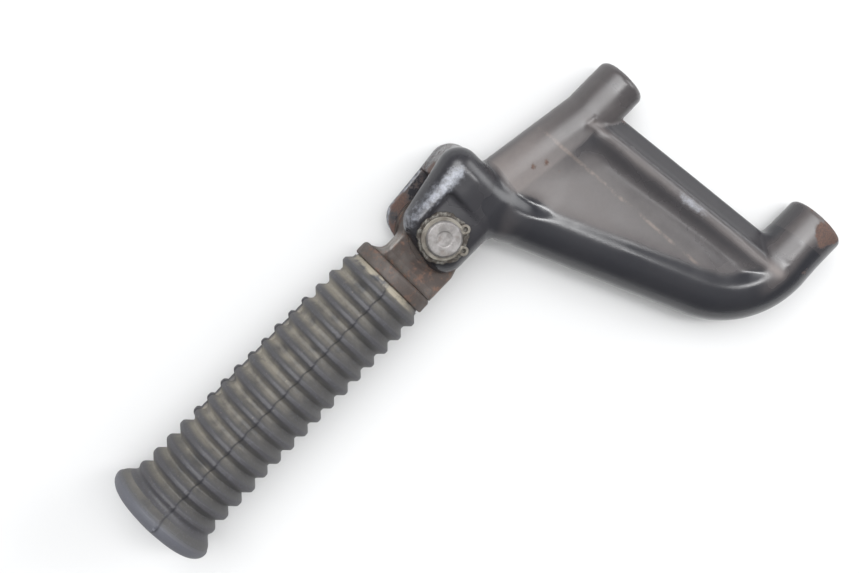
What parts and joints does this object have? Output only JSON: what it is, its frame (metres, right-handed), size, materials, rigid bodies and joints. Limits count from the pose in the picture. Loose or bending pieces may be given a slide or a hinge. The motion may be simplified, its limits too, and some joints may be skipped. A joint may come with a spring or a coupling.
{
  "type": "folding foot peg",
  "caption": "Folding passenger foot peg: ribbed rubber grip on a steel core, hinged by a pin in a forged yoke on a pressed steel frame bracket with threaded bosses.",
  "frame": {"origin": "centre of the lower boss's end face, on the axis of its threaded hole", "axes": "+X out of the bosses toward the vehicle's frame, +Y up in use from the lower boss to the upper boss, +Z along the pivot pin toward its circlip end"},
  "size_m": [0.2314, 0.1256, 0.0396],
  "materials": {
    "black_paint": "semi-gloss black enamel, scuffed and chipped to rust at its edges",
    "rusty_steel": "bare forged steel with brown surface rust",
    "bare_steel": "dull bare steel, lightly stained",
    "pin_steel": "turned steel, worn and lightly stained",
    "plated_steel": "dull zinc plate with light corrosion",
    "grip_rubber": "matt black moulded rubber, dusty in its grooves"
  },
  "bodies": {
    "bracket": {"front_shell": "black_paint", "rear_shell": "black_paint", "upper_boss": "black_paint", "lower_boss": "black_paint", "yoke": "black_paint", "yoke_weld": "black_paint", "pivot_pin": "pin_steel", "pin_washer": "plated_steel", "circlip": "plated_steel", "spring_washer": "plated_steel", "detent_plate": "bare_steel"},
    "peg": {"tongue": "rusty_steel", "detent_spring": "plated_steel", "detent_ball": "plated_steel", "collar_plate": "rusty_steel", "collar_weld": "bare_steel", "core_tube": "bare_steel", "core_flange": "bare_steel", "core_weld": "bare_steel", "rubber_grip": "grip_rubber"}
  },
  "joints": [
    {"name": "peg_fold", "type": "hinge", "parent": "bracket", "child": "peg", "pos_m": [-0.0968, 0.0944, 0], "axis": [0, 0, -1], "range_deg": [0, 90]}
  ]
}
